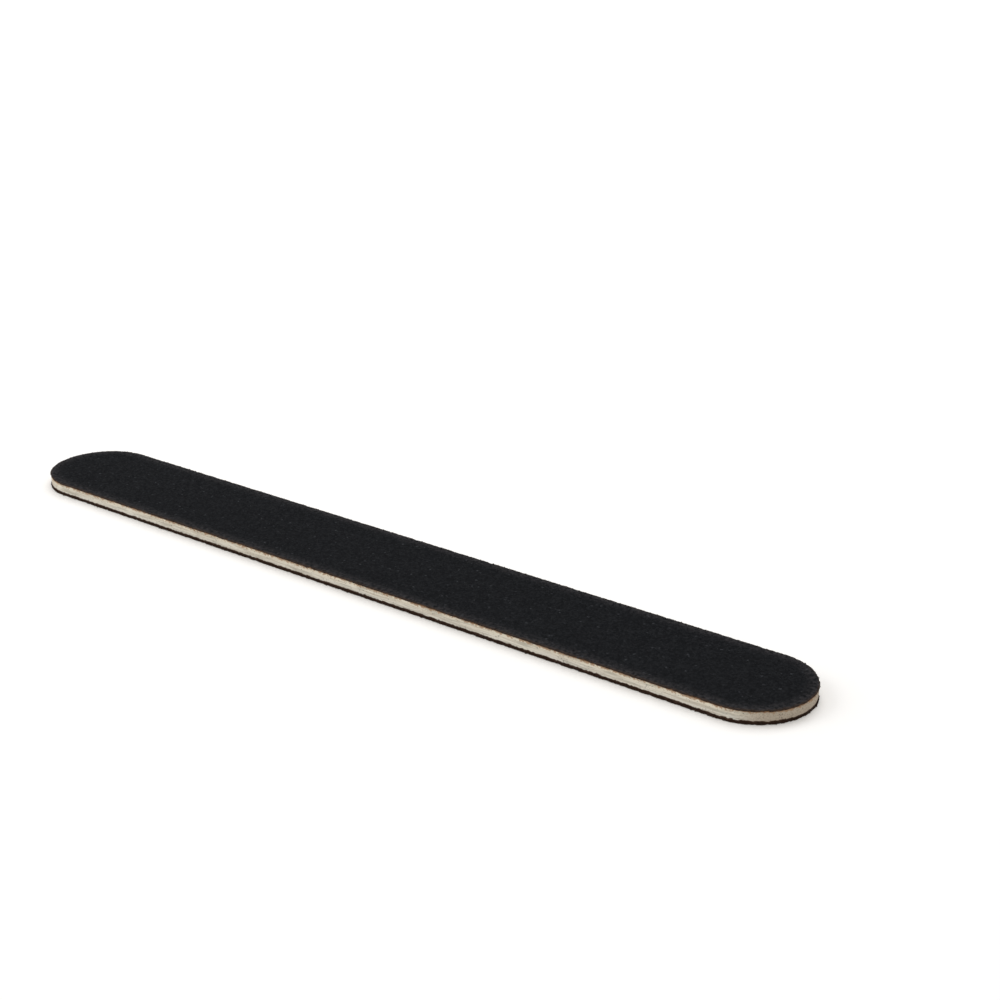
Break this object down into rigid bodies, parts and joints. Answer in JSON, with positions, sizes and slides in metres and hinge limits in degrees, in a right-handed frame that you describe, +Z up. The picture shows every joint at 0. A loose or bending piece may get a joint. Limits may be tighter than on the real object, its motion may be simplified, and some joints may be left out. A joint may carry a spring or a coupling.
{
  "type": "emery board",
  "caption": "Flat nail file with half-round tips: a pale wooden core with black abrasive paper glued to both faces, for shaping fingernails by hand.",
  "frame": {"origin": "middle of the underside, on the surface that the board lies on", "axes": "+X along the board's length, +Y across its width, +Z up through its thickness, out of the top abrasive face"},
  "size_m": [0.15, 0.0182, 0.0023],
  "materials": {
    "core_wood": "matte",
    "dried_glue": "satin",
    "backing_paper": "matte",
    "resin": "satin",
    "grit": "matte"
  },
  "bodies": {
    "root": {"core": "core_wood", "top_glue_film": "dried_glue", "top_backing_paper": "backing_paper", "top_resin_bed": "resin", "top_grit": "grit", "under_glue_film": "dried_glue", "under_backing_paper": "backing_paper", "under_resin_bed": "resin", "under_grit": "grit"}
  },
  "joints": []
}
